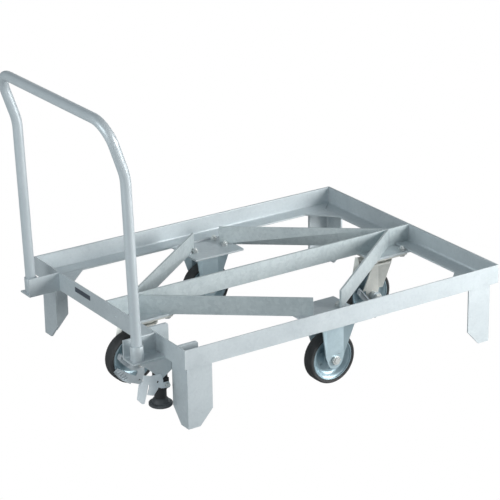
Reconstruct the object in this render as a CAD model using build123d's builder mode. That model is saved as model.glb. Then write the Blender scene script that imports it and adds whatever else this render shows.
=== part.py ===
from build123d import *
import math
import os

os.makedirs("parts", exist_ok=True)

# ------------------------------------------------------------------ dimensions
# millimetres, +Z up, floor at Z = 0, the push handle at the -X end.  The origin
# is under the middle of the whole trolley, handle included, so the load frame's
# own centre stands FC in front of it.
FC = 75.88
HALF_L = 525.0           # half the load frame's length
HALF_W = 416.0           # half the load frame's width
TOP = 259.0              # top edge of the rails above the floor
ANGLE = 55.0             # leg of the rail angle
THK = 5.0                # thickness of the rail angle
ROOT = 6.0               # root fillet of the rolled angle
TOE = 2.5                # toe fillet of the rolled angle
UNDER = TOP - ANGLE      # underside of the rails

BAR = 6.0                # flat bar of the centre beam and of the braces
BRACE_X = 445.0          # inner end of each brace, on the centre beam
BRACE_OUT = (46.0, 312.0)  # outer end of each brace, on the fixed caster plate
PLATE = 6.0              # caster mounting plates
MOUNT_Z = UNDER - PLATE  # mounting height of the casters

LEG_W = 77.0             # leg of the corner-foot angle
LEG_T = 6.0
LEG_ROOT = 7.0
LEG_X = 509.0            # outer faces of the corner feet
LEG_Y = 399.0
LEG_Z = 22.0             # ground clearance of the corner feet
LEG_FLAT = 37.0          # width left flat at the bottom of each flange
LEG_RISE = 44.0          # height of the cut corner

WHEEL_R = 75.0
TYRE_W = 38.0
TYRE_IN = 64.5           # seat of the tyre on the steel rim
RIM_R = 64.5
AXLE_R = 8.0
BORE_R = 8.05
FIX_Y = 322.0            # fixed casters, either side of the centre line
SWIVEL_X = 408.0         # swivel axes, either side of the frame's centre
TRAIL = 42.0             # wheel axle behind the swivel axis
TOP_L, TOP_W, TOP_T = 134.0, 104.0, 5.0   # caster top plate
HOLE_A, HOLE_B = 52.0, 30.0               # half the bolt spacings, fixed casters
SW_L, SW_W = 128.0, 130.0                 # top plate of the swivel casters
SW_HOLE_X, SW_HOLE_Y = 50.0, 52.0         # half their bolt spacings
BOLT_R, BOLT_HOLE_R = 5.0, 5.5
NUT_AF = 17.0
ARM_IN, ARM_OUT = 27.0, 30.0              # fork arm, from the wheel's middle plane
PIN_R, PIN_BORE_R = 7.0, 7.05

TUBE_R, TUBE_WALL = 14.3, 2.3
POST_Y = 296.0
POST_X, POST_Z = -598.0, 209.5            # foot of the handle's posts
LEAN = -0.0297                            # X per Z of the lower posts
KNEE_Z = 720.0
GRIP_X, GRIP_Z = -662.5, 868.0            # axis of the hand bar
SOCKET_R, SOCKET_BORE = 18.0, 14.7
SOCKET_H = 42.0
BRACKET_L = 97.0
BRACKET_Y = 262.0

LOCK_X, LOCK_Y = -531.0, -295.0           # floor lock's stem
LOCK_PIVOT = (-526.0, 129.0)              # pedal pivot, X and Z
PEDAL_Y = -323.0                          # outer face of the lock pedal
PAD_Z = 62.0                              # underside of the raised pad


def px(x):
    """X in the load frame's own centre to X of the whole trolley."""
    return x + FC


def corner(sketch, x, y):
    """The sketch's vertex at a local point."""
    return [v for v in sketch.vertices() if abs(v.X - x) < 1e-4 and abs(v.Y - y) < 1e-4]


def save(builder, name):
    builder.part.label = name
    export_step(builder.part, f"parts/{name}.step")


# -------------------------------------------------------------- rolled sections
with BuildSketch() as rail_section:
    with BuildLine():
        Polyline((0, 0), (ANGLE, 0), (ANGLE, THK), (THK, THK), (THK, ANGLE), (0, ANGLE), close=True)
    make_face()
    fillet(corner(rail_section, THK, THK), ROOT)
    fillet(corner(rail_section, ANGLE, THK) + corner(rail_section, THK, ANGLE), TOE)

with BuildSketch() as foot_section:
    with BuildLine():
        Polyline((0, 0), (LEG_W, 0), (LEG_W, LEG_T), (LEG_T, LEG_T), (LEG_T, LEG_W), (0, LEG_W), close=True)
    make_face()
    fillet(corner(foot_section, LEG_T, LEG_T), LEG_ROOT)
    fillet(corner(foot_section, LEG_W, LEG_T) + corner(foot_section, LEG_T, LEG_W), 3.0)

# ------------------------------------------------------------------- load frame
with BuildPart() as side_rail_near:
    with BuildSketch(Plane(origin=(px(-HALF_L), -HALF_W, UNDER), x_dir=(0, 1, 0), z_dir=(1, 0, 0))):
        add(rail_section.sketch)
    extrude(amount=2 * HALF_L)
save(side_rail_near, "side_rail_near")

with BuildPart() as side_rail_far:
    with BuildSketch(Plane(origin=(px(HALF_L), HALF_W, UNDER), x_dir=(0, -1, 0), z_dir=(-1, 0, 0))):
        add(rail_section.sketch)
    extrude(amount=2 * HALF_L)
save(side_rail_far, "side_rail_far")

# the end rails stand between the side rails and are coped over their flanges
END_W = HALF_W - THK
with BuildPart() as end_rail_handle:
    with BuildSketch(Plane(origin=(px(-HALF_L), END_W, UNDER), x_dir=(1, 0, 0), z_dir=(0, -1, 0))):
        add(rail_section.sketch)
    extrude(amount=2 * END_W)
    add(side_rail_near.part, mode=Mode.SUBTRACT)
    add(side_rail_far.part, mode=Mode.SUBTRACT)
    # small drain hole in the upright leg
    with BuildSketch(Plane(origin=(px(-HALF_L), -57, 231), x_dir=(0, 1, 0), z_dir=(1, 0, 0))):
        Circle(2.5)
    extrude(amount=THK, mode=Mode.SUBTRACT)
save(end_rail_handle, "end_rail_handle")

with BuildPart() as end_rail_front:
    with BuildSketch(Plane(origin=(px(HALF_L), -END_W, UNDER), x_dir=(-1, 0, 0), z_dir=(0, 1, 0))):
        add(rail_section.sketch)
    extrude(amount=2 * END_W)
    add(side_rail_near.part, mode=Mode.SUBTRACT)
    add(side_rail_far.part, mode=Mode.SUBTRACT)
save(end_rail_front, "end_rail_front")

with BuildPart() as centre_beam:
    with BuildSketch(Plane.XY.offset(UNDER)):
        with Locations((px(0), 0)):
            Rectangle(2 * (HALF_L - THK), BAR)
    extrude(amount=ANGLE)
    add(end_rail_handle.part, mode=Mode.SUBTRACT)
    add(end_rail_front.part, mode=Mode.SUBTRACT)
save(centre_beam, "centre_beam")

# ----------------------------------------------------------------------- braces
_dx, _dy = BRACE_OUT[0] - BRACE_X, BRACE_OUT[1]
BRACE_LEN = math.hypot(_dx, _dy)
_ux, _uy = _dx / BRACE_LEN, _dy / BRACE_LEN
_nx, _ny = _uy, -_ux


def brace_outline(sx, sy):
    """Plan of one brace: cut to the beam's face inside, square outside."""
    h = BAR / 2
    pts = []
    for s in (h, -h):
        t = (h - s * _ny) / _uy
        pts.append((BRACE_X + s * _nx + t * _ux, s * _ny + t * _uy))
    for s in (-h, h):
        pts.append((BRACE_OUT[0] + s * _nx, BRACE_OUT[1] + s * _ny))
    return [(px(sx * x), sy * y) for x, y in pts]


with BuildPart() as brace_near_handle:
    with BuildSketch(Plane.XY.offset(UNDER)):
        with BuildLine():
            Polyline(*brace_outline(-1, -1), close=True)
        make_face()
    extrude(amount=ANGLE)
    add(end_rail_handle.part, mode=Mode.SUBTRACT)
save(brace_near_handle, "brace_near_handle")

with BuildPart() as brace_far_handle:
    with BuildSketch(Plane.XY.offset(UNDER)):
        with BuildLine():
            Polyline(*brace_outline(-1, 1), close=True)
        make_face()
    extrude(amount=ANGLE)
    add(end_rail_handle.part, mode=Mode.SUBTRACT)
save(brace_far_handle, "brace_far_handle")

with BuildPart() as brace_near_front:
    with BuildSketch(Plane.XY.offset(UNDER)):
        with BuildLine():
            Polyline(*brace_outline(1, -1), close=True)
        make_face()
    extrude(amount=ANGLE)
    add(end_rail_front.part, mode=Mode.SUBTRACT)
save(brace_near_front, "brace_near_front")

with BuildPart() as brace_far_front:
    with BuildSketch(Plane.XY.offset(UNDER)):
        with BuildLine():
            Polyline(*brace_outline(1, 1), close=True)
        make_face()
    extrude(amount=ANGLE)
    add(end_rail_front.part, mode=Mode.SUBTRACT)
save(brace_far_front, "brace_far_front")

# ------------------------------------------------------------------ corner feet
with BuildPart() as foot_near_handle:
    with BuildSketch(Plane(origin=(px(-LEG_X), -LEG_Y, LEG_Z), x_dir=(1, 0, 0), z_dir=(0, 0, 1))):
        add(foot_section.sketch)
    extrude(amount=UNDER - LEG_Z)
    with BuildSketch(Plane(origin=(px(-LEG_X), -LEG_Y, LEG_Z), x_dir=(1, 0, 0), z_dir=(0, -1, 0))):
        with BuildLine():
            Polyline((LEG_FLAT, 0), (LEG_W, 0), (LEG_W, LEG_RISE), close=True)
        make_face()
    extrude(amount=20, both=True, mode=Mode.SUBTRACT)
    with BuildSketch(Plane(origin=(px(-LEG_X), -LEG_Y, LEG_Z), x_dir=(0, 1, 0), z_dir=(1, 0, 0))):
        with BuildLine():
            Polyline((LEG_FLAT, 0), (LEG_W, 0), (LEG_W, LEG_RISE), close=True)
        make_face()
    extrude(amount=20, both=True, mode=Mode.SUBTRACT)
save(foot_near_handle, "foot_near_handle")

with BuildPart() as foot_near_front:
    add(mirror(foot_near_handle.part, about=Plane.YZ.offset(px(0)), mode=Mode.PRIVATE))
save(foot_near_front, "foot_near_front")

with BuildPart() as foot_far_handle:
    add(mirror(foot_near_handle.part, about=Plane.XZ, mode=Mode.PRIVATE))
save(foot_far_handle, "foot_far_handle")

with BuildPart() as foot_far_front:
    add(mirror(foot_near_front.part, about=Plane.XZ, mode=Mode.PRIVATE))
save(foot_far_front, "foot_far_front")

# corner gussets, flush with the rails' flanges
GX, GY, GS = HALF_L - ANGLE, HALF_W - ANGLE, 75.0
with BuildPart() as corner_gussets:
    for sx in (-1, 1):
        for sy in (-1, 1):
            with BuildSketch(Plane.XY.offset(UNDER)):
                with BuildLine():
                    Polyline((px(sx * GX), sy * GY), (px(sx * (GX - GS)), sy * GY), (px(sx * GX), sy * (GY - GS)), close=True)
                make_face()
            extrude(amount=THK)
save(corner_gussets, "corner_gussets")

# ------------------------------------------------------------- caster mountings
with BuildPart() as caster_plate_near:
    with BuildSketch(Plane.XY.offset(MOUNT_Z)):
        with Locations((px(0), -316)):
            Rectangle(170, 184)
        with Locations((px(0), -FIX_Y)):
            with GridLocations(2 * HOLE_A, 2 * HOLE_B, 2, 2):
                Circle(BOLT_HOLE_R, mode=Mode.SUBTRACT)
    extrude(amount=PLATE)
save(caster_plate_near, "caster_plate_near")

with BuildPart() as caster_plate_far:
    with BuildSketch(Plane.XY.offset(MOUNT_Z)):
        with Locations((px(0), 321.5)):
            Rectangle(168, 173)
        with Locations((px(0), FIX_Y)):
            with GridLocations(2 * HOLE_A, 2 * HOLE_B, 2, 2):
                Circle(BOLT_HOLE_R, mode=Mode.SUBTRACT)
    extrude(amount=PLATE)
save(caster_plate_far, "caster_plate_far")

with BuildPart() as swivel_plate_handle:
    with BuildSketch(Plane.XY.offset(MOUNT_Z)):
        with Locations((px(-430), 0)):
            Rectangle(176, 134)
        with Locations((px(-SWIVEL_X), 0)):
            with GridLocations(2 * SW_HOLE_X, 2 * SW_HOLE_Y, 2, 2):
                Circle(BOLT_HOLE_R, mode=Mode.SUBTRACT)
    extrude(amount=PLATE)
save(swivel_plate_handle, "swivel_plate_handle")

with BuildPart() as swivel_plate_front:
    with BuildSketch(Plane.XY.offset(MOUNT_Z)):
        with Locations((px(430), 0)):
            Rectangle(176, 134)
        with Locations((px(SWIVEL_X), 0)):
            with GridLocations(2 * SW_HOLE_X, 2 * SW_HOLE_Y, 2, 2):
                Circle(BOLT_HOLE_R, mode=Mode.SUBTRACT)
    extrude(amount=PLATE)
save(swivel_plate_front, "swivel_plate_front")

# ---------------------------------------------------- bolts and nuts of casters
# (x, y, nut angle): a nut beside a brace has a flat turned to it
BRACE_DEG = math.degrees(math.atan2(_ny, _nx))
fasteners = []
for sy in (-1, 1):
    for sx in (-1, 1):
        fasteners.append((sx * HOLE_A, sy * (FIX_Y + HOLE_B), 90.0))
        fasteners.append((sx * HOLE_A, sy * (FIX_Y - HOLE_B), sx * sy * BRACE_DEG))
for ex in (-1, 1):
    for sy in (-1, 1):
        fasteners.append((ex * (SWIVEL_X + SW_HOLE_X), sy * SW_HOLE_Y, 0.0))
        fasteners.append((ex * (SWIVEL_X - SW_HOLE_X), sy * SW_HOLE_Y, ex * sy * BRACE_DEG))
HEAD_T = 6.4
NUT_T = 8.0

with BuildPart() as caster_bolts:
    for x, y, deg in fasteners:
        with BuildSketch(Plane.XY.offset(MOUNT_Z - TOP_T - HEAD_T)):
            with Locations(Location((px(x), y, 0), (0, 0, 30))):
                RegularPolygon(NUT_AF / 2, 6, major_radius=False)
        extrude(amount=HEAD_T)
        with BuildSketch(Plane.XY.offset(MOUNT_Z - TOP_T)):
            with Locations((px(x), y)):
                Circle(BOLT_R)
        extrude(amount=TOP_T + PLATE + NUT_T + 5.0)
save(caster_bolts, "caster_bolts")

with BuildPart() as caster_nuts:
    for x, y, deg in fasteners:
        with BuildSketch(Plane.XY.offset(UNDER)):
            with Locations(Location((px(x), y, 0), (0, 0, deg + 30))):
                RegularPolygon(NUT_AF / 2, 6, major_radius=False)
            with Locations((px(x), y)):
                Circle(BOLT_R, mode=Mode.SUBTRACT)
        extrude(amount=NUT_T)
save(caster_nuts, "caster_nuts")


# ---------------------------------------------------------------- caster wheels
def wheel_plane(x, y):
    """Plane whose local X runs along the radius (+Z) and local Y along the axle."""
    return Plane(origin=(px(x), y, WHEEL_R), x_dir=(0, 0, 1), z_dir=(-1, 0, 0))


WHEELS = {
    "near": (0.0, -FIX_Y),
    "far": (0.0, FIX_Y),
    "handle": (-SWIVEL_X - TRAIL, 0.0),
    "front": (SWIVEL_X - TRAIL, 0.0),
}
for place, (wx, wy) in WHEELS.items():
    with BuildPart() as tyre:
        with BuildSketch(wheel_plane(wx, wy)) as tyre_section:
            with BuildLine():
                Polyline((TYRE_IN, -16.5), (67.5, -17.5), (69.0, -TYRE_W / 2), (WHEEL_R, -TYRE_W / 2),
                         (WHEEL_R, TYRE_W / 2), (69.0, TYRE_W / 2), (67.5, 17.5), (TYRE_IN, 16.5), close=True)
            make_face()
            fillet(corner(tyre_section, WHEEL_R, -TYRE_W / 2) + corner(tyre_section, WHEEL_R, TYRE_W / 2), 5.5)
        revolve(axis=Axis((px(wx), wy, WHEEL_R), (0, 1, 0)))
    save(tyre, f"tyre_{place}")

    with BuildPart() as disc:
        with BuildSketch(wheel_plane(wx, wy)):
            with BuildLine():
                Polyline((BORE_R, -26), (15, -26), (17, -24), (17, -6), (22, -4), (50, -4), (57, -13), (60, -16.5),
                         (62.5, -17.5), (RIM_R, -16.5), (RIM_R, 16.5), (62.5, 17.5), (60, 16.5), (57, 13), (50, 4),
                         (22, 4), (17, 6), (17, 24), (15, 26), (BORE_R, 26), close=True)
            make_face()
        revolve(axis=Axis((px(wx), wy, WHEEL_R), (0, 1, 0)))
    save(disc, f"wheel_disc_{place}")

# ---------------------------------------------------------------- fixed casters
# arm sections, seen from above, for the arm on the +Y side of the wheel: a web
# with two flanges flared away from the wheel
FIX_TOP = [(-56.9, 50.2), (-58.5, 47.6), (-28.8, ARM_IN), (28.8, ARM_IN), (58.5, 47.6), (56.9, 50.2), (28, ARM_OUT), (-28, ARM_OUT)]
FIX_LOW = [(-31.4, 31.0), (-32.6, 28.2), (-28.8, ARM_IN), (28.8, ARM_IN), (32.6, 28.2), (31.4, 31.0), (28, ARM_OUT), (-28, ARM_OUT)]
FIX_LOW_Z = 92.0

for place, sign in (("near", -1), ("far", 1)):
    cy = sign * FIX_Y
    with BuildPart() as fork:
        with BuildSketch(Plane.XY.offset(MOUNT_Z - TOP_T)) as plate_sketch:
            with Locations((px(0), cy)):
                RectangleRounded(TOP_L, TOP_W, 9)
                with GridLocations(2 * HOLE_A, 2 * HOLE_B, 2, 2):
                    Circle(BOLT_HOLE_R, mode=Mode.SUBTRACT)
        extrude(amount=TOP_T)
        for side in (-1, 1):
            with BuildSketch(Plane.XY.offset(MOUNT_Z - TOP_T)):
                with BuildLine():
                    Polyline(*[(px(x), cy + side * y) for x, y in FIX_TOP], close=True)
                make_face()
            with BuildSketch(Plane.XY.offset(FIX_LOW_Z)):
                with BuildLine():
                    Polyline(*[(px(x), cy + side * y) for x, y in FIX_LOW], close=True)
                make_face()
            loft(ruled=True)
            with BuildSketch(Plane(origin=(px(0), cy + side * ARM_IN, 0), x_dir=(1, 0, 0), z_dir=(0, -1, 0))):
                with BuildLine():
                    Polyline((-32, FIX_LOW_Z), (32, FIX_LOW_Z), (24, WHEEL_R - 6), (-24, WHEEL_R - 6), close=True)
                make_face()
                with Locations((0, WHEEL_R)):
                    Circle(25)
                    Circle(BORE_R, mode=Mode.SUBTRACT)
            extrude(amount=-side * (ARM_OUT - ARM_IN))
    save(fork, f"fixed_fork_{place}")

# --------------------------------------------------------------- swivel casters
SW_TOP_Z, SW_LOW_Z = 174.0, 94.0
CROWN_T = 6.0
# arm sections relative to the swivel axis, +Y side, wheel trailing towards -X
SW_TOP = [(-50.5, 43.9), (-53.4, 43.0), (-46, ARM_IN), (-19.5, ARM_IN), (19.5, 40.9), (18.2, 43.8), (-20.5, ARM_OUT), (-43.5, ARM_OUT)]
SW_LOW = [(-77, 33.0), (-78.2, 30.2), (-64, ARM_IN), (-19.2, ARM_IN), (-4.5, 29.6), (-5.5, 32.5), (-20, ARM_OUT), (-63, ARM_OUT)]

for place, ex in (("handle", -1), ("front", 1)):
    ax = ex * SWIVEL_X

    with BuildPart() as head:
        with BuildSketch(Plane.XY.offset(MOUNT_Z - TOP_T)):
            with Locations((px(ax), 0)):
                RectangleRounded(SW_L, SW_W, 9)
                with GridLocations(2 * SW_HOLE_X, 2 * SW_HOLE_Y, 2, 2):
                    Circle(BOLT_HOLE_R, mode=Mode.SUBTRACT)
                Circle(PIN_R, mode=Mode.SUBTRACT)
        extrude(amount=TOP_T)
        # race housing, with the ball channel open downwards
        with BuildSketch(Plane(origin=(px(ax), 0, 0), x_dir=(1, 0, 0), z_dir=(0, -1, 0))):
            with BuildLine():
                Polyline((PIN_R, 177), (19, 177), (22, 181.5), (30, 181.5), (31, 176.5), (35.5, 176.5), (35.5, 181),
                         (31, 188), (30, 193), (PIN_R, 193), close=True)
            make_face()
        revolve(axis=Axis((px(ax), 0, 0), (0, 0, 1)))
    save(head, f"swivel_head_{place}")

    with BuildPart() as king_pin:
        with BuildSketch(Plane(origin=(px(ax), 0, 0), x_dir=(1, 0, 0), z_dir=(0, -1, 0))):
            with BuildLine():
                Polyline((0, 159), (11, 159), (13, 161), (13, 166), (PIN_R, 166), (PIN_R, MOUNT_Z), (0, MOUNT_Z), close=True)
            make_face()
        revolve(axis=Axis((px(ax), 0, 0), (0, 0, 1)))
    save(king_pin, f"king_pin_{place}")

    with BuildPart() as fork:
        # crown
        with BuildSketch(Plane.XY.offset(SW_TOP_Z - CROWN_T)):
            with Locations((px(ax), 0)):
                Circle(42)
            with BuildLine():
                Polyline((px(ax - 49), -40), (px(ax + 18), -42), (px(ax + 18), 42), (px(ax - 49), 40), close=True)
            make_face()
            with Locations((px(ax), 0)):
                Circle(PIN_BORE_R, mode=Mode.SUBTRACT)
        extrude(amount=CROWN_T)
        for side in (-1, 1):
            with BuildSketch(Plane.XY.offset(SW_TOP_Z)):
                with BuildLine():
                    Polyline(*[(px(ax + x), side * y) for x, y in SW_TOP], close=True)
                make_face()
            with BuildSketch(Plane.XY.offset(SW_LOW_Z)):
                with BuildLine():
                    Polyline(*[(px(ax + x), side * y) for x, y in SW_LOW], close=True)
                make_face()
            loft(ruled=True)
            with BuildSketch(Plane(origin=(px(ax), side * ARM_IN, 0), x_dir=(1, 0, 0), z_dir=(0, -1, 0))):
                with BuildLine():
                    Polyline((-66, SW_LOW_Z), (-17, SW_LOW_Z), (-TRAIL + 19, WHEEL_R - 6), (-TRAIL - 19, WHEEL_R - 6), close=True)
                make_face()
                with Locations((-TRAIL, WHEEL_R)):
                    Circle(20)
                    Circle(BORE_R, mode=Mode.SUBTRACT)
            extrude(amount=-side * (ARM_OUT - ARM_IN))
    save(fork, f"swivel_fork_{place}")

BALLS = 16
with BuildPart() as swivel_balls:
    for ex in (-1, 1):
        with Locations((px(ex * SWIVEL_X), 0, 177.4)):
            with PolarLocations(26, BALLS):
                Sphere(3.0)
save(swivel_balls, "swivel_balls")

# ----------------------------------------------------------------------- axles
AXLE_HEAD, AXLE_NUT, AXLE_AF = 7.0, 8.0, 24.0
PEDAL_IN, PEDAL_OUT = 50.0, 53.0          # brake pedal's side plate, from the wheel's middle plane
NUT_FACE = {"near": ARM_OUT, "far": ARM_OUT, "handle": PEDAL_OUT + 3.0, "front": PEDAL_OUT + 3.0}


def axle_solid(x, y, nut_face):
    """Axle bolt with its head on the +Y side."""
    with BuildPart() as bolt:
        with BuildSketch(Plane(origin=(px(x), y + ARM_OUT, WHEEL_R), x_dir=(1, 0, 0), z_dir=(0, -1, 0))):
            Circle(AXLE_R)
        extrude(amount=ARM_OUT + nut_face + AXLE_NUT + 2)
        with BuildSketch(Plane(origin=(px(x), y + ARM_OUT, WHEEL_R), x_dir=(1, 0, 0), z_dir=(0, 1, 0))):
            RegularPolygon(AXLE_AF / 2, 6, major_radius=False)
        extrude(amount=AXLE_HEAD)
        chamfer(bolt.faces().sort_by(Axis.Y)[0].edges(), 1.0)
    return bolt.part


def axle_nut_solid(x, y, nut_face):
    with BuildPart() as nut:
        with BuildSketch(Plane(origin=(px(x), y - nut_face, WHEEL_R), x_dir=(1, 0, 0), z_dir=(0, -1, 0))):
            RegularPolygon(AXLE_AF / 2, 6, major_radius=False)
            Circle(AXLE_R, mode=Mode.SUBTRACT)
        extrude(amount=AXLE_NUT)
    return nut.part


fixed_axle_solids = [axle_solid(*WHEELS[p], NUT_FACE[p]) for p in ("near", "far")]
fixed_nut_solids = [axle_nut_solid(*WHEELS[p], NUT_FACE[p]) for p in ("near", "far")]
with BuildPart() as fixed_axles:
    add(fixed_axle_solids)
save(fixed_axles, "fixed_axles")

with BuildPart() as fixed_axle_nuts:
    add(fixed_nut_solids)
save(fixed_axle_nuts, "fixed_axle_nuts")

for place in ("handle", "front"):
    swivel_axle_solid = axle_solid(*WHEELS[place], NUT_FACE[place])
    swivel_nut_solid = axle_nut_solid(*WHEELS[place], NUT_FACE[place])
    # sleeve that holds the brake pedal's plate off the fork arm
    with BuildPart() as axle:
        add(swivel_axle_solid)
    save(axle, f"axle_{place}")
    wx, wy = WHEELS[place]
    with BuildPart() as axle_nut:
        add(swivel_nut_solid)
    save(axle_nut, f"axle_nut_{place}")

# ---------------------------------------------------------------- brake pedals
# X and Z from the wheel's axle, in the pedal's own plane beside the wheel
PEDAL_BAND = [(-68, 41), (-64, 43), (-49, 24), (-32, 3), (-10, -11), (9, -14), (9, -22), (-10, -22), (-30, -16), (-52, 5), (-72, 28)]
PEDAL_TREAD = [(-73, 0), (-85, -9), (-70, -31), (-43, -49), (-6, -65), (4, -60), (6, -50), (-31, -29)]
PEDAL_LINK = [(-12, -12), (12, -12), (12, -34), (6, -52), (-20, -42), (-10, -28)]
for place in ("handle", "front"):
    wx, wy = WHEELS[place]
    with BuildPart() as pedal:
        # side plate with a hub on the axle
        with BuildSketch(Plane(origin=(px(wx), -PEDAL_IN, WHEEL_R), x_dir=(1, 0, 0), z_dir=(0, -1, 0))):
            with BuildLine():
                Polyline(*PEDAL_BAND, close=True)
            make_face()
            with BuildLine():
                Polyline(*PEDAL_LINK, close=True)
            make_face()
            with BuildLine():
                Polyline(*PEDAL_TREAD, close=True)
            make_face()
            Circle(17)
        extrude(amount=PEDAL_OUT - PEDAL_IN)
        with BuildSketch(Plane(origin=(px(wx), -ARM_OUT - 0.4, WHEEL_R), x_dir=(1, 0, 0), z_dir=(0, -1, 0))):
            Circle(13)
        extrude(amount=PEDAL_OUT + 2.6 - ARM_OUT)
        with BuildSketch(Plane(origin=(px(wx), -ARM_OUT, WHEEL_R), x_dir=(1, 0, 0), z_dir=(0, -1, 0))):
            Circle(BORE_R)
        extrude(amount=40, mode=Mode.SUBTRACT)
        # upper edge turned outwards as a release tab
        with BuildSketch(Plane(origin=(px(wx), -PEDAL_OUT, WHEEL_R), x_dir=(1, 0, 0), z_dir=(0, -1, 0))):
            with BuildLine():
                Polyline((-72, 28), (-68, 41), (-64, 43), (-49, 24), (-32, 3), (-34, 0), (-51, 20), (-65, 38), (-69, 27), close=True)
            make_face()
        extrude(amount=9)
        # tread: the lower plate turned outwards, with five ribs
        with BuildSketch(Plane(origin=(px(wx), -PEDAL_OUT, WHEEL_R), x_dir=(1, 0, 0), z_dir=(0, -1, 0))):
            with BuildLine():
                Polyline((-85, -9), (-70, -31), (-43, -49), (-41.5, -46.5), (-67.5, -29), (-82, -7.5), close=True)
            make_face()
        extrude(amount=16)
        with BuildSketch(Plane(origin=(px(wx), -PEDAL_OUT, WHEEL_R), x_dir=(1, 0, 0), z_dir=(0, -1, 0))):
            for k in range(5):
                a = k / 4
                with Locations(Location((-75 + 27 * a, -10 - 28 * a, 0), (0, 0, 32 - 8 * a))):
                    RectangleRounded(19, 3.0, 1.4)
        extrude(amount=2.0)
        # window in the link
        with BuildSketch(Plane(origin=(px(wx), -PEDAL_IN, WHEEL_R), x_dir=(1, 0, 0), z_dir=(0, -1, 0))):
            with Locations((-5, -52)):
                Circle(3.0)
        extrude(amount=PEDAL_OUT - PEDAL_IN, mode=Mode.SUBTRACT)
    save(pedal, f"brake_pedal_{place}")

# -------------------------------------------------------- handle's two brackets
with BuildPart() as handle_bracket_near:
    with BuildSketch(Plane(origin=(px(-HALF_L), -BRACKET_Y, UNDER), x_dir=(0, -1, 0), z_dir=(-1, 0, 0))):
        add(rail_section.sketch)
    extrude(amount=BRACKET_L)
save(handle_bracket_near, "handle_bracket_near")

with BuildPart() as handle_bracket_far:
    add(mirror(handle_bracket_near.part, about=Plane.XZ, mode=Mode.PRIVATE))
save(handle_bracket_far, "handle_bracket_far")

POST_PLANE = Plane(origin=(px(POST_X), -POST_Y, UNDER + THK), x_dir=(0, 1, 0), z_dir=(LEAN, 0, 1))
with BuildPart() as handle_socket_near:
    with BuildSketch(POST_PLANE.offset(-4)):
        Circle(SOCKET_R)
        Circle(SOCKET_BORE, mode=Mode.SUBTRACT)
    extrude(amount=SOCKET_H + 4)
    split(bisect_by=Plane.XY.offset(UNDER + THK), keep=Keep.TOP)
save(handle_socket_near, "handle_socket_near")

with BuildPart() as handle_socket_far:
    add(mirror(handle_socket_near.part, about=Plane.XZ, mode=Mode.PRIVATE))
save(handle_socket_far, "handle_socket_far")

# ribs inside the handle end's rail
for name, rib_y in (("end_rib_inner", -229.0), ("end_rib_outer", -379.0)):
    with BuildPart() as rib:
        with BuildSketch(Plane(origin=(px(-HALF_L + THK), rib_y, UNDER + THK), x_dir=(1, 0, 0), z_dir=(0, -1, 0))) as rib_sketch:
            with BuildLine():
                Polyline((0, 0), (59, 0), (59, 50), (0, 50), close=True)
            make_face()
            fillet(corner(rib_sketch, 59, 50), 8)
        extrude(amount=-6)
        add(end_rail_handle.part, mode=Mode.SUBTRACT)
        add(side_rail_near.part, mode=Mode.SUBTRACT)
    save(rib, name)

# blank identification plate on the handle end's rail
with BuildPart() as blank_label:
    with BuildSketch(Plane(origin=(px(-HALF_L), 127, 238.5), x_dir=(0, -1, 0), z_dir=(-1, 0, 0))):
        RectangleRounded(86, 14, 1.5)
    extrude(amount=0.6)
save(blank_label, "blank_label")

# ------------------------------------------------------------------- floor lock
with BuildPart() as lock_housing:
    # top plate under the bracket, two cheeks hanging from it
    with BuildSketch(Plane.XY.offset(MOUNT_Z)):
        with Locations((px(-552), -291)):
            Rectangle(92, 58)
    extrude(amount=PLATE)
    for y0 in (-320.0, -265.0):
        with BuildSketch(Plane(origin=(px(0), y0, 0), x_dir=(1, 0, 0), z_dir=(0, -1, 0))):
            with BuildLine():
                Polyline((-597, 201), (-558, 165), (-543, 161), (-536, 149), (-507, 168.5), (-507, 201), close=True)
            make_face()
        extrude(amount=-3)
    with BuildSketch(Plane.XY.offset(MOUNT_Z)):
        with Locations((px(LOCK_X), LOCK_Y)):
            Circle(17.3)
    extrude(amount=PLATE, mode=Mode.SUBTRACT)
save(lock_housing, "lock_housing")

with BuildPart() as lock_sleeve:
    with BuildSketch(Plane.XY.offset(112)):
        with Locations((px(LOCK_X), LOCK_Y)):
            Circle(20.5)
            Circle(17.3, mode=Mode.SUBTRACT)
    extrude(amount=MOUNT_Z - 112)
    # boss for the pedal's pivot
    with BuildSketch(Plane(origin=(px(0), -320, 0), x_dir=(1, 0, 0), z_dir=(0, -1, 0))):
        with BuildLine():
            Polyline((-535, 147), (-518, 147), (-518, 121), (-522, 117), (-531, 117), (-535, 121), close=True)
        make_face()
    extrude(amount=-7)
    with BuildSketch(Plane(origin=(px(0), -320, 0), x_dir=(1, 0, 0), z_dir=(0, -1, 0))):
        with Locations(LOCK_PIVOT):
            Circle(5.05)
    extrude(amount=-3, mode=Mode.SUBTRACT)
save(lock_sleeve, "lock_sleeve")

with BuildPart() as lock_pivot:
    with BuildSketch(Plane(origin=(px(LOCK_PIVOT[0]), -317, LOCK_PIVOT[1]), x_dir=(1, 0, 0), z_dir=(0, -1, 0))):
        Circle(5.0)
    extrude(amount=12)
    with BuildSketch(Plane(origin=(px(LOCK_PIVOT[0]), -324.4, LOCK_PIVOT[1]), x_dir=(1, 0, 0), z_dir=(0, -1, 0))):
        RegularPolygon(6, 6, major_radius=False)
    extrude(amount=6)
save(lock_pivot, "lock_pivot")

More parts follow.
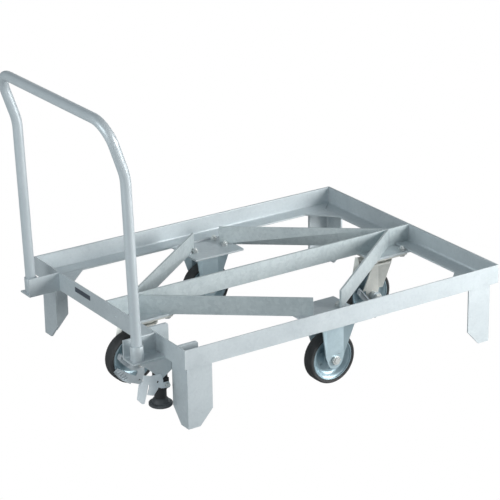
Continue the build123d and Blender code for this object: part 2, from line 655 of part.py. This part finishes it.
with BuildPart() as lock_pedal:
    with BuildSketch(Plane(origin=(px(0), -320.6, 0), x_dir=(1, 0, 0), z_dir=(0, -1, 0))):
        with BuildLine():
            Polyline((-597, 174), (-575, 166), (-545, 165.5), (-538.5, 152), (-537.5, 143), (-537.5, 121),
                     (-559, 130), (-597, 150), close=True)
        make_face()
        with BuildLine():
            Polyline((-545, 137), (-526, 138), (-526, 120), (-545, 123), close=True)
        make_face()
        with BuildLine():
            Polyline((-611, 150), (-596, 158), (-584, 152), (-584, 138), (-590, 115), (-597, 92), (-604, 93), (-618, 109), (-615, 130), close=True)
        make_face()
        with BuildLine():
            Polyline((-581, 150), (-580, 135), (-587, 115), (-568, 108), (-554, 124), (-552, 136), close=True)
        make_face()
        with Locations(LOCK_PIVOT):
            Circle(9)
            Circle(5.06, mode=Mode.SUBTRACT)
        with Locations((-554, 144)):
            Circle(3.2, mode=Mode.SUBTRACT)
    extrude(amount=3)
save(lock_pedal, "lock_pedal")

with BuildPart() as lock_stem:
    with BuildSketch(Plane.XY.offset(PAD_Z + 8)):
        with Locations((px(LOCK_X), LOCK_Y)):
            Circle(17.0)
            Circle(13.5, mode=Mode.SUBTRACT)
    extrude(amount=196 - PAD_Z - 8)
save(lock_stem, "lock_stem")

with BuildPart() as lock_pad:
    with BuildSketch(Plane(origin=(px(LOCK_X), LOCK_Y, 0), x_dir=(1, 0, 0), z_dir=(0, -1, 0))):
        with BuildLine():
            Polyline((0, PAD_Z), (31, PAD_Z), (32.5, PAD_Z + 1.5), (32.5, PAD_Z + 7), (31, PAD_Z + 8.5), (24, PAD_Z + 9.5),
                     (21, PAD_Z + 18), (17, PAD_Z + 22), (17, PAD_Z + 8), (0, PAD_Z + 8), close=True)
        make_face()
    revolve(axis=Axis((px(LOCK_X), LOCK_Y, 0), (0, 0, 1)))
save(lock_pad, "lock_pad")

# ------------------------------------------------------------------ push handle
knee_x = POST_X + LEAN * (KNEE_Z - POST_Z)
foot_z = POST_Z - 6.0
foot_x = POST_X + LEAN * (foot_z - POST_Z)
with BuildPart() as push_handle:
    with BuildLine() as handle_path:
        FilletPolyline(
            (px(foot_x), -POST_Y, foot_z), (px(knee_x), -POST_Y, KNEE_Z), (px(GRIP_X), -POST_Y, GRIP_Z),
            (px(GRIP_X), POST_Y, GRIP_Z), (px(knee_x), POST_Y, KNEE_Z), (px(foot_x), POST_Y, foot_z),
            radius=[150, 65, 65, 150])
    with BuildSketch(Plane(origin=(px(foot_x), -POST_Y, foot_z), x_dir=(0, 1, 0), z_dir=(LEAN, 0, 1))):
        Circle(TUBE_R)
        Circle(TUBE_R - TUBE_WALL, mode=Mode.SUBTRACT)
    sweep()
    split(bisect_by=Plane.XY.offset(POST_Z), keep=Keep.TOP)
save(push_handle, "push_handle")
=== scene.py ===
import math
import random

import bmesh
import bpy
from mathutils import Matrix, Vector, noise


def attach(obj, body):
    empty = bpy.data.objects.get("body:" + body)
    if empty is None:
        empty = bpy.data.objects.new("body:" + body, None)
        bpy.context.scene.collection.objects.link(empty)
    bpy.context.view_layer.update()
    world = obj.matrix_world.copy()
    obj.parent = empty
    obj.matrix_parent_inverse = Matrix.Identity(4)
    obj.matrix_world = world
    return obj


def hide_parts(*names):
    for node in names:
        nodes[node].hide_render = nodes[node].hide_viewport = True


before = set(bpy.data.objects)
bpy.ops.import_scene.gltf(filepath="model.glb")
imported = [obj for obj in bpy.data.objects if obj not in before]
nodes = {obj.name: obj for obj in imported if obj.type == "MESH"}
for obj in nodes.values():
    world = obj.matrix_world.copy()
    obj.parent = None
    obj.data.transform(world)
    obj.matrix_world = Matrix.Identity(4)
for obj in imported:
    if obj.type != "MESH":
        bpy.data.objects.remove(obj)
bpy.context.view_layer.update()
FC = 0.07588          # the load frame's centre, ahead of the origin
random.seed(7)
WORLD, KEY, FILL, RIM = 0.24, 125, 80, 8


# ------------------------------------------------------------------ materials
def socket(node, *names):
    for n in names:
        if n in node.inputs:
            return node.inputs[n]
    raise KeyError(names)


class Mat:
    """A node material: object coordinates in metres feed everything."""

    def __init__(self, name, roughness=0.5, metallic=0.0, coat=0.0, coat_rough=0.1, specular=0.5):
        self.m = bpy.data.materials.new(name)
        self.m.use_nodes = True
        self.nt = self.m.node_tree
        self.nt.nodes.clear()
        self.out = self.nt.nodes.new("ShaderNodeOutputMaterial")
        self.bsdf = self.nt.nodes.new("ShaderNodeBsdfPrincipled")
        self.nt.links.new(self.bsdf.outputs[0], self.out.inputs[0])
        self.bsdf.inputs["Roughness"].default_value = roughness
        self.bsdf.inputs["Metallic"].default_value = metallic
        self.bsdf.inputs["Coat Weight"].default_value = coat
        self.bsdf.inputs["Coat Roughness"].default_value = coat_rough
        self.bsdf.inputs["Specular IOR Level"].default_value = specular
        self.tc = self.nt.nodes.new("ShaderNodeTexCoord").outputs["Object"]

    def link(self, a, b):
        self.nt.links.new(a, b)

    def mapping(self, scale=(1, 1, 1), rot=(0, 0, 0), loc=(0, 0, 0)):
        n = self.nt.nodes.new("ShaderNodeMapping")
        n.inputs["Scale"].default_value = scale
        n.inputs["Rotation"].default_value = rot
        n.inputs["Location"].default_value = loc
        self.link(self.tc, n.inputs["Vector"])
        return n.outputs[0]

    def noise(self, scale, detail=3.0, rough=0.55, vec=None, dist=0.0):
        n = self.nt.nodes.new("ShaderNodeTexNoise")
        n.inputs["Scale"].default_value = scale
        n.inputs["Detail"].default_value = detail
        n.inputs["Roughness"].default_value = rough
        n.inputs["Distortion"].default_value = dist
        self.link(vec or self.tc, n.inputs["Vector"])
        return n.outputs["Fac"]

    def voronoi(self, scale, vec=None, feature="F1", out="Color"):
        n = self.nt.nodes.new("ShaderNodeTexVoronoi")
        n.feature = feature
        n.inputs["Scale"].default_value = scale
        self.link(vec or self.tc, n.inputs["Vector"])
        return n.outputs[out]

    def ramp(self, fac, stops):
        n = self.nt.nodes.new("ShaderNodeValToRGB")
        e = n.color_ramp.elements
        while len(e) < len(stops):
            e.new(0.5)
        for el, (p, c) in zip(e, stops):
            el.position = p
            el.color = (*c, 1) if len(c) == 3 else c
        self.link(fac, n.inputs[0])
        return n.outputs[0]

    def maprange(self, val, a, b, c, d, clamp=True):
        n = self.nt.nodes.new("ShaderNodeMapRange")
        n.clamp = clamp
        for k, v in zip(("From Min", "From Max", "To Min", "To Max"), (a, b, c, d)):
            n.inputs[k].default_value = v
        self.link(val, n.inputs["Value"])
        return n.outputs[0]

    def math(self, op, a, b=None, clamp=False):
        n = self.nt.nodes.new("ShaderNodeMath")
        n.operation = op
        n.use_clamp = clamp
        for i, v in enumerate((a, b)):
            if v is None:
                continue
            if isinstance(v, (int, float)):
                n.inputs[i].default_value = v
            else:
                self.link(v, n.inputs[i])
        return n.outputs[0]

    def mix(self, fac, a, b, mode="MIX"):
        n = self.nt.nodes.new("ShaderNodeMix")
        n.data_type = "RGBA"
        n.blend_type = mode
        for i, v in ((0, fac), (6, a), (7, b)):
            if isinstance(v, (int, float)):
                n.inputs[i].default_value = v
            elif isinstance(v, tuple):
                n.inputs[i].default_value = (*v, 1) if len(v) == 3 else v
            else:
                self.link(v, n.inputs[i])
        return n.outputs[2]

    def bump(self, height, strength, distance, normal=None):
        n = self.nt.nodes.new("ShaderNodeBump")
        n.inputs["Strength"].default_value = strength
        n.inputs["Distance"].default_value = distance
        self.link(height, n.inputs["Height"])
        if normal is not None:
            self.link(normal, n.inputs["Normal"])
        return n.outputs[0]

    def xyz(self, vec=None):
        n = self.nt.nodes.new("ShaderNodeSeparateXYZ")
        self.link(vec or self.tc, n.inputs[0])
        return n.outputs

    def set(self, **k):
        for name, v in k.items():
            s = self.bsdf.inputs[{"color": "Base Color", "rough": "Roughness", "normal": "Normal", "metal": "Metallic"}[name]]
            self.link(v, s)
        return self.m


def galvanised(name, light, dark, spangle=0.10, streak=(1, 1, 1), rough=(0.42, 0.60), metallic=0.35, grain=150.0):
    """Hot-dip galvanised steel: feathery crystals, soft cloudy tone, runs and a
    few duller spots."""
    m = Mat(name, metallic=metallic, specular=0.5)
    v = m.mapping(scale=streak)
    cells = m.voronoi(grain, vec=v)
    sep = m.xyz(cells)
    fine = m.noise(grain * 2.2, 4, 0.6, vec=v)
    cloud = m.noise(9.0, 4, 0.6, vec=v, dist=0.4)
    big = m.noise(2.6, 2, 0.5, vec=v)
    spots = m.noise(60.0, 3, 0.65, vec=v)
    tone = m.math("ADD", m.math("MULTIPLY", sep[0], spangle), m.math("MULTIPLY", fine, spangle * 0.8))
    tone = m.math("ADD", tone, m.maprange(cloud, 0.3, 0.7, -0.12, 0.14))
    tone = m.math("ADD", tone, m.maprange(big, 0.3, 0.7, -0.07, 0.10))
    tone = m.math("ADD", tone, m.maprange(spots, 0.55, 0.75, 0.0, -0.16))
    tone = m.math("ADD", tone, 0.46, clamp=True)
    color = m.ramp(tone, [(0.0, dark), (1.0, light)])
    r = m.maprange(m.math("ADD", m.math("MULTIPLY", sep[1], 0.5), m.math("MULTIPLY", cloud, 0.5)), 0.15, 0.85, rough[0], rough[1])
    h = m.math("ADD", m.math("MULTIPLY", sep[2], 0.35), m.math("MULTIPLY", m.noise(38.0, 4, 0.6, vec=v), 0.65))
    n = m.bump(h, 0.10, 0.0016)
    return m.set(color=color, rough=r, normal=n)


M_GALV = galvanised("galv_steel", (0.73, 0.79, 0.81), (0.44, 0.50, 0.53))
M_BRACE = galvanised("galv_brace", (0.70, 0.77, 0.78), (0.36, 0.43, 0.455), spangle=0.22, grain=120.0)
M_TUBE = galvanised("galv_tube", (0.73, 0.79, 0.82), (0.53, 0.60, 0.63), spangle=0.025, rough=(0.34, 0.46), metallic=0.25, grain=260.0)


M_WELD = galvanised("galv_weld", (0.66, 0.70, 0.73), (0.32, 0.36, 0.39), spangle=0.16, rough=(0.40, 0.6), grain=260.0)


def zinc(name, light, dark, rough=0.32, metallic=0.45):
    """Bright zinc plate: smooth, faintly blue, with rub marks from handling."""
    m = Mat(name, metallic=metallic)
    a = m.noise(14.0, 4, 0.6, dist=0.6)
    b = m.noise(120.0, 3, 0.6)
    t = m.math("ADD", m.maprange(a, 0.3, 0.7, 0.15, 0.85), m.maprange(b, 0.3, 0.7, -0.10, 0.10), clamp=True)
    color = m.ramp(t, [(0.0, dark), (1.0, light)])
    scratch = m.noise(30.0, 2, 0.5, vec=m.mapping(scale=(1, 1, 18)))
    r = m.maprange(m.math("ADD", m.math("MULTIPLY", a, 0.6), m.math("MULTIPLY", scratch, 0.4)), 0.3, 0.7, rough - 0.07, rough + 0.12)
    n = m.bump(m.math("ADD", b, scratch), 0.04, 0.0006)
    return m.set(color=color, rough=r, normal=n)


M_ZINC = zinc("zinc_plate", (0.60, 0.73, 0.78), (0.40, 0.52, 0.57))
M_ZINC_WARM = zinc("zinc_warm", (0.80, 0.80, 0.75), (0.56, 0.58, 0.55), rough=0.40)
M_PEDAL = zinc("zinc_pedal", (0.62, 0.68, 0.71), (0.38, 0.43, 0.46), rough=0.36)
M_LOCK = zinc("zinc_lock", (0.84, 0.91, 0.94), (0.66, 0.73, 0.77), rough=0.36, metallic=0.2)
M_DISC = zinc("zinc_disc", (0.44, 0.56, 0.61), (0.25, 0.35, 0.40), rough=0.34, metallic=0.6)
M_BOLT = zinc("bright_fastener", (0.84, 0.86, 0.84), (0.52, 0.55, 0.55), rough=0.28)


def rubber(name, light, dark, rough=(0.50, 0.72)):
    m = Mat(name, specular=0.35)
    a = m.noise(26.0, 4, 0.6)
    b = m.noise(420.0, 3, 0.6)
    color = m.ramp(m.maprange(a, 0.3, 0.72, 0, 1), [(0.0, dark), (1.0, light)])
    r = m.maprange(m.math("ADD", a, m.math("MULTIPLY", b, 0.4)), 0.45, 0.95, rough[0], rough[1])
    n = m.bump(m.math("ADD", m.math("MULTIPLY", a, 0.3), b), 0.18, 0.0005)
    return m.set(color=color, rough=r, normal=n)


M_TYRE = rubber("tyre_rubber", (0.072, 0.074, 0.075), (0.034, 0.035, 0.036))
M_PAD = rubber("pad_rubber", (0.12, 0.13, 0.135), (0.05, 0.055, 0.06), rough=(0.42, 0.6))


def black_paint(name):
    m = Mat(name, specular=0.5)
    a = m.noise(40.0, 4, 0.6)
    color = m.ramp(m.maprange(a, 0.3, 0.72, 0, 1), [(0.0, (0.010, 0.011, 0.013)), (1.0, (0.035, 0.037, 0.040))])
    r = m.maprange(a, 0.3, 0.7, 0.28, 0.5)
    return m.set(color=color, rough=r, normal=m.bump(m.noise(300.0, 2), 0.1, 0.0004))


M_BLACK = black_paint("black_paint")


def label_plate(name):
    m = Mat(name, specular=0.5)
    a = m.noise(90.0, 3)
    color = m.ramp(a, [(0.3, (0.045, 0.055, 0.075)), (0.7, (0.075, 0.09, 0.115))])
    return m.set(color=color, rough=m.maprange(a, 0.3, 0.7, 0.35, 0.5))


M_LABEL = label_plate("label_plate")


def paint(obj, mat):
    obj.data.materials.clear()
    obj.data.materials.append(mat)


for n, o in nodes.items():
    if n.startswith("brace_") or n == "centre_beam":
        paint(o, M_BRACE)
    elif n == "push_handle":
        paint(o, M_TUBE)
    elif n.startswith(("fixed_fork", "wheel_disc")):
        paint(o, M_ZINC)
    elif n == "lock_pedal":
        paint(o, M_LOCK)
    elif n.startswith("brake_pedal"):
        paint(o, M_PEDAL)
    elif n.startswith(("swivel_fork", "swivel_head")):
        paint(o, M_ZINC_WARM)
    elif n.startswith(("caster_bolts", "caster_nuts", "axle", "fixed_axle", "king_pin", "swivel_balls", "lock_pivot")):
        paint(o, M_BOLT)
    elif n.startswith("tyre"):
        paint(o, M_TYRE)
    elif n == "lock_pad":
        paint(o, M_PAD)
    elif n in ("lock_sleeve", "lock_stem"):
        paint(o, M_BLACK)
    elif n == "blank_label":
        paint(o, M_LABEL)
    else:
        paint(o, M_GALV)

# ------------------------------------------------------- edges of the steelwork
def edges(obj, width, segments=2, angle=38):
    """Round the sharp edges of a CAD solid without touching its mesh."""
    w = obj.modifiers.new("weld", "WELD")
    w.merge_threshold = 2e-6
    b = obj.modifiers.new("edge", "BEVEL")
    b.width = width
    b.segments = segments
    b.limit_method = "ANGLE"
    b.angle_limit = math.radians(angle)
    b.use_clamp_overlap = True
    b.harden_normals = True


EDGE = {"side_rail": 0.0009, "end_rail": 0.0009, "centre_beam": 0.0010, "brace_": 0.0010, "foot_": 0.0011,
        "caster_plate": 0.0008, "swivel_plate": 0.0008, "corner_gussets": 0.0007, "handle_bracket": 0.0009,
        "end_rib": 0.0009, "fixed_fork": 0.0007, "swivel_fork": 0.0007, "caster_nuts": 0.0006, "caster_bolts": 0.0005,
        "fixed_axle_nuts": 0.0009, "axle_nut": 0.0009, "lock_pedal": 0.0006, "brake_pedal": 0.0006, "lock_housing": 0.0006,
        "blank_label": 0.0004, "handle_socket": 0.0006, "lock_pad": 0.0008}
for n, o in nodes.items():
    for key, width in EDGE.items():
        if n.startswith(key):
            edges(o, width)
            break


# ------------------------------------------------------------- mesh from a lathe
def new_piece(name, bm, mat, body, smooth=True, sharp=35):
    bmesh.ops.recalc_face_normals(bm, faces=bm.faces)
    me = bpy.data.meshes.new(name)
    if smooth:
        for f in bm.faces:
            f.smooth = True
        for e in bm.edges:
            if len(e.link_faces) == 2 and e.calc_face_angle(0) > math.radians(sharp):
                e.smooth = False
    bm.to_mesh(me)
    bm.free()
    me.materials.append(mat)
    o = bpy.data.objects.new(name, me)
    bpy.context.scene.collection.objects.link(o)
    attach(o, body)
    return o


def lathe(bm, profile, center, segs=120):
    """Revolve a closed profile of (radius, y) points, mm, about an axle along Y."""
    rings = []
    for k in range(segs):
        a = 2 * math.pi * k / segs
        ca, sa = math.cos(a), math.sin(a)
        rings.append([bm.verts.new((center[0] + r * ca * 1e-3, center[1] + y * 1e-3, center[2] + r * sa * 1e-3)) for r, y in profile])
    n = len(profile)
    for k in range(segs):
        p, q = rings[k], rings[(k + 1) % segs]
        for i in range(n):
            j = (i + 1) % n
            bm.faces.new((p[i], p[j], q[j], q[i]))
    return rings


def dome(bm, c, r, h, axis, segs=20, rings=5):
    """Closed rivet head: a low dome on a flat base, its base sunk a little."""
    top = []
    levels = []
    for k in range(rings):
        t = k / (rings - 1) * math.radians(80)
        levels.append((r * math.cos(t), h * math.sin(t) / math.sin(math.radians(80))))
    levels.insert(0, (r, -0.4))
    prev = None
    first = None
    for rr, hh in levels:
        ring = []
        for s in range(segs):
            a = 2 * math.pi * s / segs
            ring.append(bm.verts.new((c[0] + rr * math.cos(a) * 1e-3, c[1] + axis * hh * 1e-3, c[2] + rr * math.sin(a) * 1e-3)))
        if prev:
            for s in range(segs):
                bm.faces.new((prev[s], prev[(s + 1) % segs], ring[(s + 1) % segs], ring[s]))
        else:
            first = ring
        prev = ring
    bm.faces.new(first)
    bm.faces.new(prev)


def arc(cx, cy, r, a0, a1, n):
    return [(cx + r * math.cos(math.radians(a0 + (a1 - a0) * k / n)), cy + r * math.sin(math.radians(a0 + (a1 - a0) * k / n))) for k in range(n + 1)]


# tyre: crowned tread with a mould line, round shoulders, a stepped sidewall
half = [(75.0, 0.0), (75.0, 0.35), (74.75, 0.7), (74.75, 6.0), (74.6, 11.0)]
half += arc(69.6, 13.6, 5.0, 12, 82, 8)
half += [(69.9, 18.95), (69.2, 19.0), (68.7, 18.75), (68.35, 18.2), (67.4, 17.95), (66.3, 17.8), (65.4, 17.4), (64.9, 16.9), (64.55, 16.2), (64.55, 8.0)]
TYRE = half + [(r, -y) for r, y in reversed(half[1:])]
# wheel: pressed dish, rolled lip, hub tube with a shield round the axle
side = [(8.15, 25.4), (10.6, 25.4), (11.2, 25.95), (14.0, 25.95), (15.6, 25.3), (16.6, 24.2), (17.0, 22.5), (17.0, 8.6), (17.7, 6.2), (19.6, 4.8), (22.5, 4.2),
        (38.0, 4.0), (42.0, 4.2), (45.5, 5.1), (48.5, 7.0), (51.5, 9.8), (54.2, 12.3), (56.6, 14.0), (58.4, 14.8), (59.3, 15.2)]
side += arc(61.9, 15.6, 2.15, 170, 8, 9)
side += [(64.45, 14.6), (64.45, 6.0)]
DISC = side + [(r, -y) for r, y in reversed(side)]

for place, (wx, wy) in {"near": (0.0, -322.0), "far": (0.0, 322.0), "handle": (-450.0, 0.0), "front": (366.0, 0.0)}.items():
    c = (wx * 1e-3 + FC, wy * 1e-3, 0.075)
    body = f"wheel_{place}"
    bm = bmesh.new()
    lathe(bm, TYRE, c, 144)
    t = new_piece(f"tyre_{place}_detail", bm, M_TYRE, body)
    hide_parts(f"tyre_{place}")
    bm = bmesh.new()
    lathe(bm, DISC, c, 144)
    for k in range(6):
        a = math.radians(30 + 60 * k)
        for s in (-1, 1):
            dome(bm, (c[0] + 0.0335 * math.cos(a), c[1] + s * 0.00402, c[2] + 0.0335 * math.sin(a)), 4.2, 2.2, s)
    d = new_piece(f"wheel_disc_{place}_detail", bm, M_DISC, body)
    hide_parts(f"wheel_disc_{place}")


# ------------------------------------------------------------------- weld beads
WELD_SEED = [0.0]


def bead(bm, pts, r=2.2, step=1.1, closed=False, squash=1.0):
    """A stack-of-coins weld: a closed tube along pts (mm, about the load frame's
    centre) with ripples and an uneven edge."""
    pts = [Vector((x + FC * 1e3, y, z)) for x, y, z in pts]
    if closed:
        pts.append(pts[0].copy())
    path = []
    for a, b in zip(pts, pts[1:]):
        L = (b - a).length
        n = max(2, int(L / step))
        path += [a.lerp(b, k / n) for k in range(n)]
    if not closed:
        path.append(pts[-1])
    WELD_SEED[0] += 13.7
    rings = []
    S = 8
    m = len(path)
    for i, p in enumerate(path):
        a = path[(i - 1) % m] if (closed or i > 0) else p
        b = path[(i + 1) % m] if (closed or i < m - 1) else p
        t = (b - a).normalized()
        u = t.cross(Vector((0.31, 0.52, 0.8))).normalized()
        v = t.cross(u)
        s = i * step
        rr = r * (1 + 0.13 * math.sin(2 * math.pi * s / 3.6) + 0.22 * noise.noise(Vector((s * 0.11, WELD_SEED[0], 0))))
        if not closed:
            end = min(i, m - 1 - i) / 3.0
            rr *= min(1.0, 0.35 + 0.65 * end)
        rings.append([bm.verts.new((p + (u * math.cos(2 * math.pi * k / S) + v * math.sin(2 * math.pi * k / S) * squash) * rr) * 1e-3) for k in range(S)])
    for i in range(m if closed else m - 1):
        p, q = rings[i], rings[(i + 1) % m]
        for k in range(S):
            bm.faces.new((p[k], p[(k + 1) % S], q[(k + 1) % S], q[k]))
    if not closed:
        bm.faces.new(rings[0])
        bm.faces.new(rings[-1])


BX, BO = 445.0, (46.0, 312.0)
bdx, bdy = BO[0] - BX, BO[1]
bl = math.hypot(bdx, bdy)
ux, uy = bdx / bl, bdy / bl
nx, ny = uy, -ux
bm = bmesh.new()
for sx in (-1, 1):
    for sy in (-1, 1):
        # corners of the rails, beam's ends, braces on the beam
        bead(bm, [(sx * 519.4, sy * 410.4, 211), (sx * 519.4, sy * 410.4, 256)], 2.0)
        bead(bm, [(sx * 517, sy * 408, 209.3), (sx * 472, sy * 363, 209.3)], 1.6)
        bead(bm, [(sx * 519.2, sy * 3.4, 210), (sx * 519.2, sy * 3.4, 256)], 1.9)
        bead(bm, [(sx * 472, sy * 3.3, 209.2), (sx * 512, sy * 3.3, 209.2)], 1.7)
        for s in (3.0, -3.0):
            t = (3.0 - s * ny) / uy
            bead(bm, [(sx * (BX + s * nx + t * ux), sy * 3.3, 206), (sx * (BX + s * nx + t * ux), sy * 3.3, 256)], 1.8)
        # braces on the caster plates
        for s in (3.2, -3.2):
            a = (BO[0] + s * nx - 2 * ux, BO[1] + s * ny - 2 * uy)
            b = (BO[0] + s * nx - 42 * ux, BO[1] + s * ny - 42 * uy)
            bead(bm, [(sx * a[0], sy * a[1], 204.6), (sx * b[0], sy * b[1], 204.6)], 1.8)
        # feet under the rails
        bead(bm, [(sx * 509.2, sy * 396, 203.2), (sx * 509.2, sy * 324, 203.2)], 2.0)
        bead(bm, [(sx * 505, sy * 399.2, 203.2), (sx * 434, sy * 399.2, 203.2)], 2.0)
    # plates under the beam, and caster plates at the rails' flanges
    for sy in (-1, 1):
        bead(bm, [(sx * 345, sy * 3.3, 204.6), (sx * 400, sy * 3.3, 204.6)], 1.8)
    bead(bm, [(-74, sx * 361.2, 204.9), (74, sx * 361.2, 204.9)], 1.8)
    bead(bm, [(sx * 470.3, -64, 204.9), (sx * 470.3, 64, 204.9)], 1.8)
for sy in (-1, 1):
    # brackets against the end rail, sockets' feet, ribs
    y0 = sy * 262.0
    bead(bm, [(-525.6, y0 + sy * 52, 209.4), (-525.6, y0 + sy * 8, 209.4)], 2.0)
    bead(bm, [(-525.6, y0 + sy * 5.4, 212), (-525.6, y0 + sy * 5.4, 256)], 2.0)
    ring = [(-598 + 18.4 * math.cos(a), sy * 296 + 18.2 * math.sin(a), 209.5) for a in [2 * math.pi * k / 40 for k in range(40)]]
    bead(bm, ring, 1.9, closed=True)
for ry in (-229.0, -379.0):
    bead(bm, [(-517, ry + 0.4, 209.4), (-470, ry + 0.4, 209.4)], 1.6)
    bead(bm, [(-519.6, ry + 0.4, 211), (-519.6, ry + 0.4, 255)], 1.6)
new_piece("weld_beads", bm, M_WELD, "frame", sharp=60)

# ---------------------------------------------------------- floor, lights, camera
bpy.ops.mesh.primitive_plane_add(size=60, location=(0, 0, 0))
floor = bpy.context.object
floor.name = "floor"
mf = Mat("floor_pale", roughness=0.85, specular=0.1)
mf.link(mf.ramp(mf.noise(1.5, 2), [(0.3, (0.60, 0.60, 0.60)), (0.7, (0.63, 0.63, 0.63))]), mf.bsdf.inputs["Base Color"])
lp = mf.nt.nodes.new("ShaderNodeLightPath")
glow = mf.nt.nodes.new("ShaderNodeEmission")
glow.inputs[0].default_value = (1, 1, 1, 1)
glow.inputs[1].default_value = 1.0
mixs = mf.nt.nodes.new("ShaderNodeMixShader")
mf.link(lp.outputs["Is Camera Ray"], mixs.inputs[0])
mf.link(mf.bsdf.outputs[0], mixs.inputs[1])
mf.link(glow.outputs[0], mixs.inputs[2])
mf.link(mixs.outputs[0], mf.out.inputs[0])
floor.data.materials.append(mf.m)

world = bpy.data.worlds.new("studio")
bpy.context.scene.world = world
world.use_nodes = True
wt = world.node_tree
bg = wt.nodes["Background"]
bg.inputs[0].default_value = (0.86, 0.94, 1.0, 1)
bg.inputs[1].default_value = WORLD
white = wt.nodes.new("ShaderNodeBackground")
white.inputs[0].default_value = (1, 1, 1, 1)
wlp = wt.nodes.new("ShaderNodeLightPath")
wmix = wt.nodes.new("ShaderNodeMixShader")
wt.links.new(wlp.outputs["Is Camera Ray"], wmix.inputs[0])
wt.links.new(bg.outputs[0], wmix.inputs[1])
wt.links.new(white.outputs[0], wmix.inputs[2])
wt.links.new(wmix.outputs[0], wt.nodes["World Output"].inputs[0])


def area(name, loc, target, size, power, color=(1, 1, 1)):
    d = bpy.data.lights.new(name, "AREA")
    d.shape = "RECTANGLE"
    d.size, d.size_y = size
    d.energy = power
    d.color = color
    o = bpy.data.objects.new(name, d)
    bpy.context.scene.collection.objects.link(o)
    o.location = loc
    o.rotation_euler = (Vector(target) - Vector(loc)).to_track_quat("-Z", "Y").to_euler()
    return o


area("key", (2.3, -2.7, 1.15), (0.15, 0, 0.2), (1.7, 1.5), KEY, (1.0, 0.995, 0.99))
area("fill", (-4.3, -0.8, 1.7), (0, 0, 0.3), (2.4, 2.0), FILL, (0.93, 0.98, 1.0))
area("rim", (1.6, 3.6, 2.2), (0, 0, 0.3), (2.0, 2.0), RIM, (0.97, 0.99, 1.0))

cam = bpy.data.cameras.new("camera")
cam.sensor_fit = "HORIZONTAL"
cam.sensor_width = 36.0
cam.lens = 150.2596
cam.clip_start = 0.1
cam.clip_end = 100
camera = bpy.data.objects.new("camera", cam)
bpy.context.scene.collection.objects.link(camera)
camera.matrix_world = Matrix((
    (0.83467136, 0.209335, -0.50941396, -3.003961),
    (-0.5505395, 0.29166242, -0.78220157, -4.656612),
    (-0.01516526, 0.93333375, 0.35868945, 2.437352),
    (0, 0, 0, 1)))
bpy.context.scene.camera = camera

bpy.context.scene.view_settings.view_transform = "Standard"
